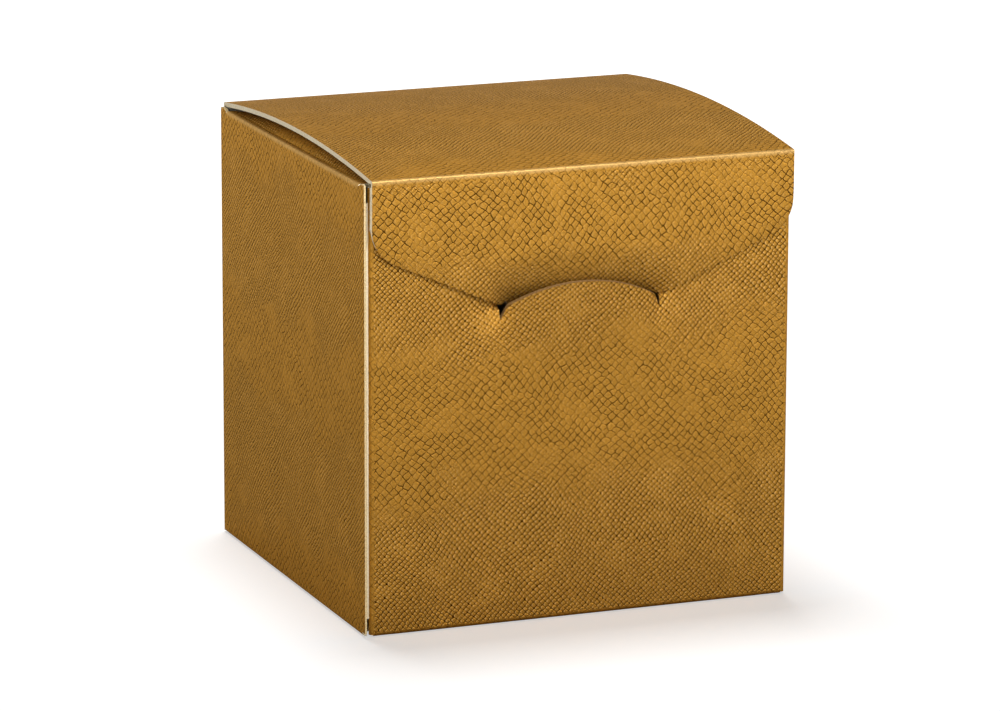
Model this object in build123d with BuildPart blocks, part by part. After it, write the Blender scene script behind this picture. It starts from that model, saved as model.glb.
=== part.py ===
"""A folding favour box of embossed board: glued sleeve, snap-lock base, dust flaps and a bowed lid.

The lid's envelope flap hangs in front of the sleeve and its tip is tucked through an arched slit.
Millimetres. The front faces -Y, the left side is at -X and the box stands on Z = 0.
"""
import os
from math import atan2, degrees, sqrt

from build123d import *

os.makedirs("parts", exist_ok=True)

# Sleeve, outside sizes, and the board it is folded from
width = 60.0
depth = 57.0
height = 60.0
board = 0.45

# A moving panel ends this far short of its bead, and stacked base flaps lie this far apart
fold_clear = 0.05
stack_clear = 0.05

# Glued seam at the front left corner
glue_film = 0.1
glue_margin = 1.5
seam_reach = 12.0
seam_short = 2.0
seam_taper = 4.0

# Lid: bowed upward between its folds, and set a little to the right of the sleeve
lid_narrow = 0.4
lid_shift = 0.4
lid_rise = 1.75
lid_gap = 0.3
front_short = 0.2

# Dust flaps
dust_reach = 24.0
dust_front = 1.5
dust_back = 2.5
dust_front_taper = 4.0
dust_corner = 3.0

# Arched slit in the front wall: the lip below it bows out, the board above it is pressed in
slit_half = 11.25
slit_rise = 3.2
slit_drop = 17.8
slit_gap = 0.25
lip_bulge = 0.8
lip_length = 15.0
dish_depth = 2.0
dish_height = 9.8
bow_least = 0.02

# Envelope flap: its middle is pressed in towards the slit, and its tip leans inward behind the lip
flap_gap = 0.15
shoulder_drop = 9.0
shoulder_radius = 5.0
flap_end_lift = 0.6
tip_half = 6.2
tip_side_drop = 19.2
tip_point_drop = 21.8
tip_radius = 6.0
press_rim = 11.0
press_start = 9.0
press_end = 15.6
press_slope = 0.098
press_least = 0.01
tip_slope = 0.42
tip_spare = 2.0

# Snap-lock base: side flaps above the front flap, back flap above those, locking tongue on top
base_side_clear = 3.5
base_taper = 3.0
side_ramp = 2.0
side_inner_x = 11.0
side_front_clear = 1.5
side_back_clear = 3.5
side_taper = 5.0
back_ramp = 3.0
back_edge_y = 7.5
lock_shoulder_y = 12.0
lock_half = 9.0
lock_slot = 0.6
lock_root_y = 2.0
lock_ramp = 4.0
lock_tip_y = 18.0
lock_tip_radius = 4.0
corner_notch = 0.8

# Positions that follow from the sizes
half_w = width / 2
half_d = depth / 2
inner_x = half_w - board
inner_y = half_d - board
front_left = -half_w + 2 * board + glue_film
front_top = height - front_short
bead = board / 2
fold_reach = bead + fold_clear
side_fold_x = half_w - bead
side_fold_z = height - bead
lid_fold_y = half_d - bead
lid_fold_z = height + lid_gap + bead
flap_inner_y = -half_d - flap_gap
tuck_fold_y = flap_inner_y - bead
lid_width = width - lid_narrow
lid_left = lid_shift - lid_width / 2
lid_right = lid_shift + lid_width / 2
slit_x = (front_left + inner_x) / 2
slit_left = slit_x - slit_half
slit_right = slit_x + slit_half
slit_end_z = height - slit_drop
slit_top_z = slit_end_z + slit_rise
slit_radius = (slit_half**2 + slit_rise**2) / (2 * slit_rise)
lip_low_z = slit_end_z - lip_length
dish_top_z = slit_end_z + dish_height
shoulder_z = height - shoulder_drop
tip_side_z = height - tip_side_drop
tip_point_z = height - tip_point_drop
dust_front_y = -inner_y + dust_front
dust_back_y = inner_y - dust_back
base_half = inner_x - base_side_clear
base_step = board + stack_clear

# The lid's bow is an arc through both folds, seen along X
lid_span = lid_fold_y - tuck_fold_y
bow_radius = (lid_span**2 / 4 + lid_rise**2) / (2 * lid_rise)
bow_centre = Vector((lid_fold_y + tuck_fold_y) / 2, lid_fold_z + lid_rise - bow_radius)
tuck_fold = Vector(tuck_fold_y, lid_fold_z)
tuck_out = (tuck_fold - bow_centre).normalized()


def quarter_round(start):
    """A fixed fold in section, a quarter disc about its inner corner."""
    with BuildSketch() as bend:
        with BuildLine():
            arc = CenterArc((0, 0), board, start, 90)
            Line(arc @ 1, (0, 0))
            Line((0, 0), arc @ 0)
        make_face()
    return bend.sketch


def half_round(start):
    """The bead of a moving fold in section, a half disc about the fold's axis."""
    with BuildSketch() as bend:
        with BuildLine():
            arc = CenterArc((0, 0), bead, start, 180)
            Line(arc @ 1, arc @ 0)
        make_face()
    return bend.sketch


def bow_point(radius, y):
    """The point of the lid's bow above y, at this radius from the bow's centre."""
    return Vector(y, bow_centre.Y + sqrt(radius**2 - (y - bow_centre.X) ** 2))


def bowed_strip(bow):
    """The front wall in section between the slit's ends, bowed outward by bow."""
    with BuildSketch() as strip:
        with BuildLine():
            outer = ThreePointArc((slit_left, -half_d), (slit_x, -half_d - bow), (slit_right, -half_d))
            inner = ThreePointArc((slit_left, -inner_y), (slit_x, -inner_y - bow), (slit_right, -inner_y))
            Line(outer @ 0, inner @ 0)
            Line(outer @ 1, inner @ 1)
        make_face()
    return strip.sketch


def pressed_strip(dip):
    """The envelope flap in section, its middle pressed inward by dip."""
    bend_x = (press_rim + tip_half) / 2
    with BuildSketch() as strip:
        with BuildLine():
            for rim_y in (flap_inner_y - board, flap_inner_y):
                low_y = rim_y + dip
                bend_y = rim_y + dip / 2
                Line((lid_left, rim_y), (slit_x - press_rim, rim_y))
                fall = TangentArc((slit_x - press_rim, rim_y), (slit_x - bend_x, bend_y), tangent=(1, 0))
                TangentArc(fall @ 1, (slit_x - tip_half, low_y), tangent=fall % 1)
                Line((slit_x - tip_half, low_y), (slit_x + tip_half, low_y))
                climb = TangentArc((slit_x + tip_half, low_y), (slit_x + bend_x, bend_y), tangent=(1, 0))
                TangentArc(climb @ 1, (slit_x + press_rim, rim_y), tangent=climb % 1)
                Line((slit_x + press_rim, rim_y), (lid_right, rim_y))
            Line((lid_left, flap_inner_y - board), (lid_left, flap_inner_y))
            Line((lid_right, flap_inner_y - board), (lid_right, flap_inner_y))
        make_face()
    return strip.sketch


def ramped_strip(reach, ramp, rise):
    """A base flap in section, from its fold up a ramp and then flat to its free edge."""
    with BuildSketch() as strip:
        with BuildLine():
            Polyline(
                (0, 0),
                (ramp, rise),
                (reach, rise),
                (reach, rise + board),
                (ramp, rise + board),
                (0, board),
                close=True,
            )
        make_face()
    return strip.sketch


# The lip below the slit and the pressed board above it, which become parts of the front wall
with BuildPart() as lip:
    with BuildSketch(Plane.XY.offset(lip_low_z)):
        add(bowed_strip(bow_least))
    with BuildSketch(Plane.XY.offset(slit_top_z)):
        add(bowed_strip(lip_bulge))
    loft()
    with BuildSketch(Plane.XZ):
        with BuildLine():
            arch = ThreePointArc((slit_left, slit_end_z), (slit_x, slit_top_z), (slit_right, slit_end_z))
            Polyline(arch @ 1, (slit_right, lip_low_z), (slit_left, lip_low_z), arch @ 0)
        make_face()
    extrude(amount=depth, mode=Mode.INTERSECT)

with BuildPart() as dish:
    with BuildSketch(Plane.XY.offset(slit_end_z)):
        add(bowed_strip(-dish_depth))
    with BuildSketch(Plane.XY.offset(dish_top_z)):
        add(bowed_strip(-bow_least))
    loft()
    with BuildSketch(Plane.XZ):
        with BuildLine():
            arch = ThreePointArc(
                (slit_left, slit_end_z + slit_gap),
                (slit_x, slit_top_z + slit_gap),
                (slit_right, slit_end_z + slit_gap),
            )
            Polyline(arch @ 1, (slit_right, dish_top_z), (slit_left, dish_top_z), arch @ 0)
        make_face()
    extrude(amount=depth, mode=Mode.INTERSECT)

# Walls of the sleeve
with BuildPart() as front_wall:
    with BuildSketch(Plane.XZ.offset(inner_y)):
        with Locations((front_left, board)):
            Rectangle(inner_x - front_left, front_top - board, align=Align.MIN)
        with Locations((slit_left, lip_low_z)):
            Rectangle(2 * slit_half, dish_top_z - lip_low_z, align=Align.MIN, mode=Mode.SUBTRACT)
    extrude(amount=board)
    add(lip.part)
    add(dish.part)

with BuildPart() as right_wall:
    with BuildSketch(Plane.YZ.offset(inner_x)):
        with Locations((-inner_y, board)):
            Rectangle(2 * inner_y, side_fold_z - board, align=Align.MIN)
    extrude(amount=board)

with BuildPart() as back_wall:
    with BuildSketch(Plane.XZ.offset(-half_d)):
        with Locations((-inner_x, board)):
            Rectangle(2 * inner_x, lid_fold_z - board, align=Align.MIN)
    extrude(amount=board)

with BuildPart() as left_wall:
    with BuildSketch(Plane.YZ.offset(-half_w)):
        with Locations((-half_d, board)):
            Rectangle(half_d + inner_y, side_fold_z - board, align=Align.MIN)
    extrude(amount=board)

# Upright folds between the walls
with BuildPart() as front_right_crease:
    with BuildSketch(Plane((inner_x, -inner_y, board))):
        add(quarter_round(270))
    extrude(amount=front_top - board)

with BuildPart() as right_back_crease:
    with BuildSketch(Plane((inner_x, inner_y, board))):
        add(quarter_round(0))
    extrude(amount=side_fold_z - board)

with BuildPart() as back_left_crease:
    with BuildSketch(Plane((-inner_x, inner_y, board))):
        add(quarter_round(90))
    extrude(amount=side_fold_z - board)

with BuildPart() as seam_crease:
    with BuildSketch(Plane((front_left, -inner_y, board))):
        add(quarter_round(180))
    extrude(amount=front_top - board)

# The seam flap turns in from the front wall and is glued behind the left wall
with BuildPart() as seam_flap:
    with BuildSketch(Plane.YZ.offset(front_left - board)):
        with BuildLine():
            Polyline(
                (-inner_y, board + seam_short),
                (seam_reach - inner_y, board + seam_short + seam_taper),
                (seam_reach - inner_y, front_top - seam_short - seam_taper),
                (-inner_y, front_top - seam_short),
                close=True,
            )
        make_face()
    extrude(amount=board)

with BuildPart() as seam_glue:
    with BuildSketch(Plane.YZ.offset(-inner_x)):
        with Locations((glue_margin - inner_y, board + seam_short + seam_taper)):
            Rectangle(
                seam_reach - 2 * glue_margin,
                front_top - board - 2 * (seam_short + seam_taper),
                align=Align.MIN,
            )
    extrude(amount=glue_film)

# Lid, with the bead of its hinge on the back wall and the bead of the envelope flap on its front edge
with BuildPart() as lid_crease:
    with BuildSketch(Plane((lid_left, lid_fold_y, lid_fold_z), x_dir=(0, 1, 0), z_dir=(1, 0, 0))):
        add(half_round(0))
    extrude(amount=lid_width)

with BuildPart() as lid:
    with BuildSketch(Plane.YZ.offset(lid_left)):
        with BuildLine():
            crown_y = bow_centre.X
            rear_y = lid_fold_y - fold_reach
            upper = ThreePointArc(
                bow_point(bow_radius + bead, rear_y),
                bow_point(bow_radius + bead, crown_y),
                tuck_fold + tuck_out * bead,
            )
            lower = ThreePointArc(
                bow_point(bow_radius - bead, rear_y),
                bow_point(bow_radius - bead, crown_y),
                tuck_fold - tuck_out * bead,
            )
            Line(upper @ 0, lower @ 0)
            Line(upper @ 1, lower @ 1)
        make_face()
    extrude(amount=lid_width)

with BuildPart() as tuck_crease:
    with BuildSketch(Plane((lid_left, tuck_fold_y, lid_fold_z), x_dir=(0, 1, 0), z_dir=(1, 0, 0))):
        add(half_round(degrees(atan2(tuck_out.Y, tuck_out.X))))
    extrude(amount=lid_width)

# Envelope flap: pressed in towards the slit, then cut to its outline with the tip that tucks in
with BuildPart() as tuck_flap:
    press_dip = press_slope * (press_end - press_start)
    tip_z = tip_point_z - tip_spare
    tip_dip = press_dip + tip_slope * (lid_fold_z - press_end - tip_z)
    with BuildSketch(Plane.XY.offset(lid_fold_z - fold_reach)):
        add(pressed_strip(press_least))
    with BuildSketch(Plane.XY.offset(lid_fold_z - press_start)):
        add(pressed_strip(press_least))
    with BuildSketch(Plane.XY.offset(lid_fold_z - press_end)):
        add(pressed_strip(press_dip))
    with BuildSketch(Plane.XY.offset(tip_z)):
        add(pressed_strip(tip_dip))
    loft(ruled=True)
    with BuildSketch(Plane.XZ) as flap_outline:
        neck_z = slit_top_z - slit_radius + sqrt(slit_radius**2 - tip_half**2) + slit_gap
        with BuildLine():
            Polyline(
                (lid_left, lid_fold_z),
                (lid_left, shoulder_z),
                (slit_left, slit_end_z + flap_end_lift),
                (slit_x - tip_half, neck_z),
                (slit_x - tip_half, tip_side_z),
                (slit_x, tip_point_z),
                (slit_x + tip_half, tip_side_z),
                (slit_x + tip_half, neck_z),
                (slit_right, slit_end_z + flap_end_lift),
                (lid_right, shoulder_z),
                (lid_right, lid_fold_z),
                close=True,
            )
        make_face()
        fillet(flap_outline.vertices().group_by(Axis.Y)[-2], shoulder_radius)
        fillet(flap_outline.vertices().group_by(Axis.Y)[0], tip_radius)
    extrude(amount=depth, mode=Mode.INTERSECT)

# Dust flaps, each on a bead along the top of its side wall
with BuildPart() as left_dust_crease:
    with BuildSketch(Plane.XZ.offset(-dust_back_y)):
        with Locations((-side_fold_x, side_fold_z)):
            add(half_round(0))
    extrude(amount=dust_back_y - dust_front_y)

with BuildPart() as left_dust_flap:
    with BuildSketch(Plane.XY.offset(side_fold_z - bead)) as dust_outline:
        with BuildLine():
            hinge_x = fold_reach - side_fold_x
            edge_x = dust_reach - side_fold_x
            Polyline(
                (hinge_x, dust_front_y),
                (edge_x, dust_front_y + dust_front_taper),
                (edge_x, dust_back_y - dust_reach + fold_reach),
                (hinge_x, dust_back_y),
                close=True,
            )
        make_face()
        fillet(dust_outline.vertices().group_by(Axis.X)[-1], dust_corner)
    extrude(amount=board)

with BuildPart() as right_dust_crease:
    mirror(left_dust_crease.part, about=Plane.YZ)

with BuildPart() as right_dust_flap:
    mirror(left_dust_flap.part, about=Plane.YZ)

# Folds along the bottom edges
with BuildPart() as base_front_crease:
    with BuildSketch(Plane((front_left, -inner_y, board), x_dir=(0, 1, 0), z_dir=(1, 0, 0))):
        add(quarter_round(180))
    extrude(amount=inner_x - front_left)

with BuildPart() as base_back_crease:
    with BuildSketch(Plane((-inner_x, inner_y, board), x_dir=(0, 1, 0), z_dir=(1, 0, 0))):
        add(quarter_round(270))
    extrude(amount=2 * inner_x)

with BuildPart() as base_right_crease:
    with BuildSketch(Plane((inner_x, inner_y, board), x_dir=(1, 0, 0), z_dir=(0, -1, 0))):
        add(quarter_round(270))
    extrude(amount=2 * inner_y)

with BuildPart() as base_left_crease:
    with BuildSketch(Plane((-inner_x, inner_y, board), x_dir=(1, 0, 0), z_dir=(0, -1, 0))):
        add(quarter_round(180))
    extrude(amount=inner_y + half_d - corner_notch)

# Base flaps
with BuildPart() as base_left_flap:
    side_front_y = -inner_y + side_front_clear
    side_back_y = inner_y - side_back_clear
    with BuildSketch(Plane((-inner_x, side_back_y, 0), x_dir=(1, 0, 0), z_dir=(0, -1, 0))):
        add(ramped_strip(inner_x - side_inner_x, side_ramp, base_step))
    extrude(amount=side_back_y - side_front_y)
    with BuildSketch(Plane.XY):
        with BuildLine():
            Polyline(
                (-inner_x, side_front_y),
                (-side_inner_x, side_front_y + side_taper),
                (-side_inner_x, side_back_y - side_taper),
                (-inner_x, side_back_y),
                close=True,
            )
        make_face()
    extrude(amount=height, mode=Mode.INTERSECT)

with BuildPart() as base_right_flap:
    mirror(base_left_flap.part, about=Plane.YZ)

with BuildPart() as base_back_flap:
    with BuildSketch(Plane((base_half, inner_y, 0), x_dir=(0, -1, 0), z_dir=(-1, 0, 0))):
        add(ramped_strip(inner_y - back_edge_y, back_ramp, 2 * base_step))
    extrude(amount=2 * base_half)
    with BuildSketch(Plane.XY):
        with BuildLine():
            Polyline(
                (-base_half, inner_y),
                (base_taper - base_half, back_edge_y),
                (base_half - base_taper, back_edge_y),
                (base_half, inner_y),
                close=True,
            )
        make_face()
    extrude(amount=height, mode=Mode.INTERSECT)

with BuildPart() as base_front_flap:
    with BuildSketch(Plane((-lock_half, lock_root_y, 0), x_dir=(0, 1, 0), z_dir=(1, 0, 0))):
        add(ramped_strip(lock_tip_y - lock_root_y, lock_ramp, 3 * base_step))
    extrude(amount=2 * lock_half)
    tip_edges = base_front_flap.edges().filter_by(Axis.Z).group_by(Axis.Y)[-1]
    fillet(tip_edges, lock_tip_radius)
    with BuildSketch(Plane.XY):
        with BuildLine():
            Polyline(
                (-base_half, -inner_y),
                (base_half, -inner_y),
                (base_half - base_taper, lock_shoulder_y),
                (lock_half + lock_slot, lock_shoulder_y),
                (lock_half + lock_slot, lock_root_y),
                (-lock_half - lock_slot, lock_root_y),
                (-lock_half - lock_slot, lock_shoulder_y),
                (base_taper - base_half, lock_shoulder_y),
                close=True,
            )
        make_face()
    extrude(amount=board)

front_wall.part.label = "front_wall"
export_step(front_wall.part, "parts/front_wall.step")

right_wall.part.label = "right_wall"
export_step(right_wall.part, "parts/right_wall.step")

back_wall.part.label = "back_wall"
export_step(back_wall.part, "parts/back_wall.step")

left_wall.part.label = "left_wall"
export_step(left_wall.part, "parts/left_wall.step")

front_right_crease.part.label = "front_right_crease"
export_step(front_right_crease.part, "parts/front_right_crease.step")

right_back_crease.part.label = "right_back_crease"
export_step(right_back_crease.part, "parts/right_back_crease.step")

back_left_crease.part.label = "back_left_crease"
export_step(back_left_crease.part, "parts/back_left_crease.step")

seam_crease.part.label = "seam_crease"
export_step(seam_crease.part, "parts/seam_crease.step")

seam_flap.part.label = "seam_flap"
export_step(seam_flap.part, "parts/seam_flap.step")

seam_glue.part.label = "seam_glue"
export_step(seam_glue.part, "parts/seam_glue.step")

lid_crease.part.label = "lid_crease"
export_step(lid_crease.part, "parts/lid_crease.step")

lid.part.label = "lid"
export_step(lid.part, "parts/lid.step")

tuck_crease.part.label = "tuck_crease"
export_step(tuck_crease.part, "parts/tuck_crease.step")

tuck_flap.part.label = "tuck_flap"
export_step(tuck_flap.part, "parts/tuck_flap.step")

left_dust_crease.part.label = "left_dust_crease"
export_step(left_dust_crease.part, "parts/left_dust_crease.step")

left_dust_flap.part.label = "left_dust_flap"
export_step(left_dust_flap.part, "parts/left_dust_flap.step")

right_dust_crease.part.label = "right_dust_crease"
export_step(right_dust_crease.part, "parts/right_dust_crease.step")

right_dust_flap.part.label = "right_dust_flap"
export_step(right_dust_flap.part, "parts/right_dust_flap.step")

base_front_crease.part.label = "base_front_crease"
export_step(base_front_crease.part, "parts/base_front_crease.step")

base_back_crease.part.label = "base_back_crease"
export_step(base_back_crease.part, "parts/base_back_crease.step")

base_left_crease.part.label = "base_left_crease"
export_step(base_left_crease.part, "parts/base_left_crease.step")

base_right_crease.part.label = "base_right_crease"
export_step(base_right_crease.part, "parts/base_right_crease.step")

base_front_flap.part.label = "base_front_flap"
export_step(base_front_flap.part, "parts/base_front_flap.step")

base_back_flap.part.label = "base_back_flap"
export_step(base_back_flap.part, "parts/base_back_flap.step")

base_left_flap.part.label = "base_left_flap"
export_step(base_left_flap.part, "parts/base_left_flap.step")

base_right_flap.part.label = "base_right_flap"
export_step(base_right_flap.part, "parts/base_right_flap.step")
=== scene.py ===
"""Looks of a folding favour box in gold, snakeskin-embossed board.

Sizes and places of the board and the camera are in millimetres, those of the floor and the lights in metres.
"""
from math import acos, asin, cos, pi, radians, sin, sqrt

import bpy
import numpy as np
from mathutils import Matrix, Vector


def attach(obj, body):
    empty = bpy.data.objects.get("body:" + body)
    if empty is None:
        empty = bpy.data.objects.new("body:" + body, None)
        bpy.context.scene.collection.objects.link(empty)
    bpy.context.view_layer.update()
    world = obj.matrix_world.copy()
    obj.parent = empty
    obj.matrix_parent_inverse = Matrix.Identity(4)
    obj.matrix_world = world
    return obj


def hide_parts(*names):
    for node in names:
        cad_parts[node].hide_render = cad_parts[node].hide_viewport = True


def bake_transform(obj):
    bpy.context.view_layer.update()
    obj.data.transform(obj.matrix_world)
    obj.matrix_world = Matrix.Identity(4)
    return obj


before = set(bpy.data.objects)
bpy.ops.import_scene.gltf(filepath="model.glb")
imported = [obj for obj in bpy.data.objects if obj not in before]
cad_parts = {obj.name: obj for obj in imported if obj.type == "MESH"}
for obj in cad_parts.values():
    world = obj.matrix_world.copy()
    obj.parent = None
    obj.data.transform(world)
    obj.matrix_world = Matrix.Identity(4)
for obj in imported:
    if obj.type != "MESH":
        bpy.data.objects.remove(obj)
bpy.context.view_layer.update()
scene = bpy.context.scene
scene.view_settings.view_transform = "Standard"

MM = 0.001
TINY = 0.01  # tolerance when points are compared with an edge
LEFT, RIGHT, FRONT, BACK, UP, DOWN = (-1, 0, 0), (1, 0, 0), (0, -1, 0), (0, 1, 0), (0, 0, 1), (0, 0, -1)

# Sizes of the folded board, as in the solids or close to them
BOARD = 0.45
HALF_W, HALF_D, HEIGHT = 30.0, 28.5, 60.0
INNER_X, INNER_Y = HALF_W - BOARD, HALF_D - BOARD
FRONT_LEFT, FRONT_TOP = -28.75, 59.8
BEAD = BOARD / 2
SIDE_FOLD_X, SIDE_FOLD_Z = HALF_W - BEAD, HEIGHT - BEAD
SIDE_END_Z = 60.2  # top of a side wall beyond the ends of its dust flap
LID_FOLD_Y, LID_FOLD_Z = HALF_D - BEAD, 60.525
TUCK_FOLD_Y = -28.875
FLAP_Y = TUCK_FOLD_Y - BEAD
FLAP_LEFT = -29.0
LID_LEFT, LID_RIGHT = -29.4, 30.2
LID_RISE = 1.75
DUST_FRONT, DUST_BACK, DUST_REACH = -26.55, 25.55, 24.0
DUST_TAPER, DUST_CORNER = 4.0, 3.0
DUST_RISE = 1.2  # how far a dust flap springs up under the bowed lid
CORNER_NOTCH = 0.8
UPRIGHT_LOW = 0.25  # lower end of the upright folds
SLIT_X, SLIT_HALF, SLIT_RISE, SLIT_END_Z = 0.275, 11.25, 3.2, 42.2
SLIT_LEFT, SLIT_RIGHT = SLIT_X - SLIT_HALF, SLIT_X + SLIT_HALF
SLIT_TOP_Z = SLIT_END_Z + SLIT_RISE
SLIT_R = (SLIT_HALF**2 + SLIT_RISE**2) / (2 * SLIT_RISE)
SHOULDER_Z, SHOULDER_R, FLAP_END_Z = 51.0, 5.0, 42.8

# The lid's bow, an arc through both folds
BOW_HALF = (LID_FOLD_Y - TUCK_FOLD_Y) / 2
BOW_R = (BOW_HALF**2 + LID_RISE**2) / (2 * LID_RISE)
BOW_Y, BOW_Z = (LID_FOLD_Y + TUCK_FOLD_Y) / 2, LID_FOLD_Z + LID_RISE - BOW_R
BOW_END = asin(BOW_HALF / BOW_R)

# Folds and bowed walls
FOLD_REACH = 0.7  # how far a moving fold's strip runs onto each of its panels
FOLD_STEP = 2.0  # length of the faces along a fold, at most
BEND_R = 0.6  # outer radius of a fixed fold
BEND_IN = BEND_R - BOARD
INSIDE_SPREAD = 0.1  # spreads the points inside a tight fold, so that none coincide
WALL_BOW, LEFT_BOW = 0.12, 0.10  # how far a wall's middle stands out

# Cut edges
EDGE_CRUSH, CRUSH_WIDTH = 0.2, 1.0  # a side wall gets thinner towards u = HALF_D, the left wall's cut edge
SEAM_PROUD = 0.3  # how far the left wall's cut edge stands out in front of the front wall
EDGE_SWELL, SWELL_WIDTH = 0.15, 1.5  # what the lid's cut left edge has swollen, and how far in

# Counts of points and steps
FRONT_BESIDE, FRONT_SLIT, LIP_ROWS, TOP_ROWS = 50, 90, 105, 46
FLAP_BESIDE, FLAP_MIDDLE, FLAP_ROWS = 60, 91, 64
SIDE_ENDS, SIDE_MIDDLE, SIDE_ROWS, SIDE_TOP = 2, 34, 36, 2
BACK_POINTS, LID_ACROSS, LID_ALONG, DUST_ACROSS, DUST_ALONG = 40, 50, 60, 30, 40
ROUND_STEPS, BEND_STEPS = 10, 8


def step(low, high, x):
    """0 up to low, 1 from high, smooth between."""
    t = np.clip((x - low) / (high - low), 0, 1)
    return t * t * (3 - 2 * t)


# Materials


class Nodes:
    """A material's node tree, with short calls for the nodes used here."""

    def __init__(self, name):
        self.material = bpy.data.materials.new(name)
        self.material.use_nodes = True
        self.tree = self.material.node_tree
        self.shader = self.tree.nodes["Principled BSDF"]

    def add(self, kind, inputs=(), out=0, **settings):
        node = self.tree.nodes.new("ShaderNode" + kind)
        for key, value in settings.items():
            setattr(node, key, value)
        for key, value in dict(inputs).items():
            self.put(node.inputs[key], value)
        return node.outputs[out]

    def put(self, socket, value):
        if isinstance(value, bpy.types.NodeSocket):
            self.tree.links.new(value, socket)
        else:
            socket.default_value = value

    def math(self, operation, a, b=0.0):
        return self.add("Math", {0: a, 1: b}, operation=operation)

    def vector(self, operation, a, b):
        return self.add("VectorMath", {0: a, 1: b}, operation=operation)

    def scaled(self, a, scale):
        return self.add("VectorMath", {0: a, "Scale": scale}, operation="SCALE")

    def noise(self, at, scale, detail=2.0, out="Fac"):
        return self.add("TexNoise", {"Vector": at, "Scale": scale, "Detail": detail}, out=out)

    def ramp(self, value, low, high, to_low=0.0, to_high=1.0):
        inputs = {"Value": value, "From Min": low, "From Max": high, "To Min": to_low, "To Max": to_high}
        return self.add("MapRange", inputs, interpolation_type="SMOOTHSTEP")

    def bump(self, depth, height):
        return self.add("Bump", {"Strength": 1.0, "Distance": depth, "Height": height})

    def mix(self, factor, a, b, blend="MIX"):
        node = self.tree.nodes.new("ShaderNodeMix")
        node.data_type, node.blend_type = "RGBA", blend
        self.put(node.inputs[0], factor)
        self.put(node.inputs[6], a)
        self.put(node.inputs[7], b)
        return node.outputs[2]

    def set(self, **values):
        for key, value in values.items():
            self.put(self.shader.inputs[key.replace("_", " ")], value)


# Ranges of a noise's values, from its dark parts to its light ones
MOST, WIDEST = (0.3, 0.7), (0.2, 0.8)

# Two sizes of scale. line: half width of the groove between scales. pit: depth of the pits at their corners.
# whole: what is left of a groove where it breaks up. wander: how far the lines stray. slant: depth of the
# grooves that fall to the right, against those that rise to the right. pillow: how round a scale is and how
# strong its painted highlight is.
SMALL = dict(pitch=0.55, line=0.19, pit=1.0, whole=0.6, wander=0.45, slant=0.7, pillow=0.85)
LARGE = dict(pitch=0.82, line=0.12, pit=0.45, whole=0.42, wander=0.7, slant=0.9, pillow=0.2)
DRIFT_SCALE, DRIFT = 0.06, 3.5  # slow bends of the lines of scales: how fine, and how far they reach
WANDER_SCALE, BREAK_SCALE = 0.7, 0.9  # how fine the lines' small bends and their breaks are, in a pitch
PATCH_SCALE = 0.2  # how fine the patches are in which grooves fade
BREAKS, PATCHES = (0.38, 0.52), (0.34, 0.5)  # noise values between which a groove comes back
IRREGULAR = 0.25  # how far a scale may lie off its place
LEAN = (-0.707, -0.707, 0)  # the way the scales rise, on the turned lattice
SLANT_BLEND = 0.12
CORNERS = (0.48, 0.66)  # distances from a scale's middle between which the pit at a corner starts
HIGHLIGHT_TILT, HIGHLIGHT_CLEAR = 0.4, 0.6  # the painted highlight is full from this far up a scale, and gone in this much groove
DOME, DOME_RISE, DOME_TILT = (0.03, 0.3), 0.35, 0.4  # how a round scale rises from its edge, and tilts
GREY = (0.5, 0.5, 0.5)


def scales(m, at, pitch, line, pit, whole, wander, slant, pillow):
    """One lattice of overlapping scales on the diagonals: its groove, relief, painted highlight and each
    scale's tint.
    """
    wide = m.vector("SUBTRACT", m.noise(at, DRIFT_SCALE, out="Color"), GREY)
    fine = m.vector("SUBTRACT", m.noise(at, WANDER_SCALE / pitch, out="Color"), GREY)
    moved = m.vector("ADD", at, m.vector("ADD", m.scaled(wide, DRIFT), m.scaled(fine, wander * pitch)))
    lattice = {"Vector": m.scaled(moved, 1 / pitch), "Angle": pi / 4}
    turned = m.add("VectorRotate", lattice, rotation_type="Z_AXIS")
    place = {"Vector": turned, "Scale": 1.0, "Randomness": IRREGULAR}
    edge = m.add("TexVoronoi", place, out="Distance", feature="DISTANCE_TO_EDGE", voronoi_dimensions="2D")
    cell = m.tree.nodes.new("ShaderNodeTexVoronoi")
    cell.voronoi_dimensions = "2D"
    for key, value in place.items():
        m.put(cell.inputs[key], value)
    away = m.vector("SUBTRACT", turned, cell.outputs["Position"])
    across, along = (m.math("ABSOLUTE", m.add("SeparateXYZ", {0: away}, out)) for out in (0, 1))
    tilt = m.add("VectorMath", {0: away, 1: LEAN}, "Value", operation="DOT_PRODUCT")
    broken = m.ramp(m.noise(at, BREAK_SCALE / pitch, 1.0), *BREAKS, whole, 1.0)
    patchy = m.ramp(m.noise(at, PATCH_SCALE), *PATCHES, whole, 1.0)
    rising = m.ramp(m.math("SUBTRACT", across, along), -SLANT_BLEND, SLANT_BLEND, slant, 1.0)
    groove = m.math("MULTIPLY", m.ramp(edge, 0.0, line, 1.0, 0.0), m.math("MULTIPLY", broken, rising))
    groove = m.math("MULTIPLY", groove, patchy)
    corner = m.math("MULTIPLY", m.ramp(cell.outputs["Distance"], *CORNERS), pit)
    groove = m.math("MAXIMUM", groove, corner)
    # painted highlight: a lighter colour on the higher side of each scale, away from its groove
    upper = m.ramp(tilt, 0.0, HIGHLIGHT_TILT, 0.0, pillow)
    painted_highlight = m.math("MULTIPLY", upper, m.ramp(groove, 0.0, HIGHLIGHT_CLEAR, 1.0, 0.0))
    dome = m.math("ADD", m.ramp(edge, *DOME, 0.0, DOME_RISE), m.math("MULTIPLY", tilt, DOME_TILT))
    relief = m.math("SUBTRACT", m.math("MULTIPLY", dome, pillow), groove)
    tint = m.add("SeparateColor", {0: cell.outputs["Color"]})
    return groove, relief, painted_highlight, tint


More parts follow.
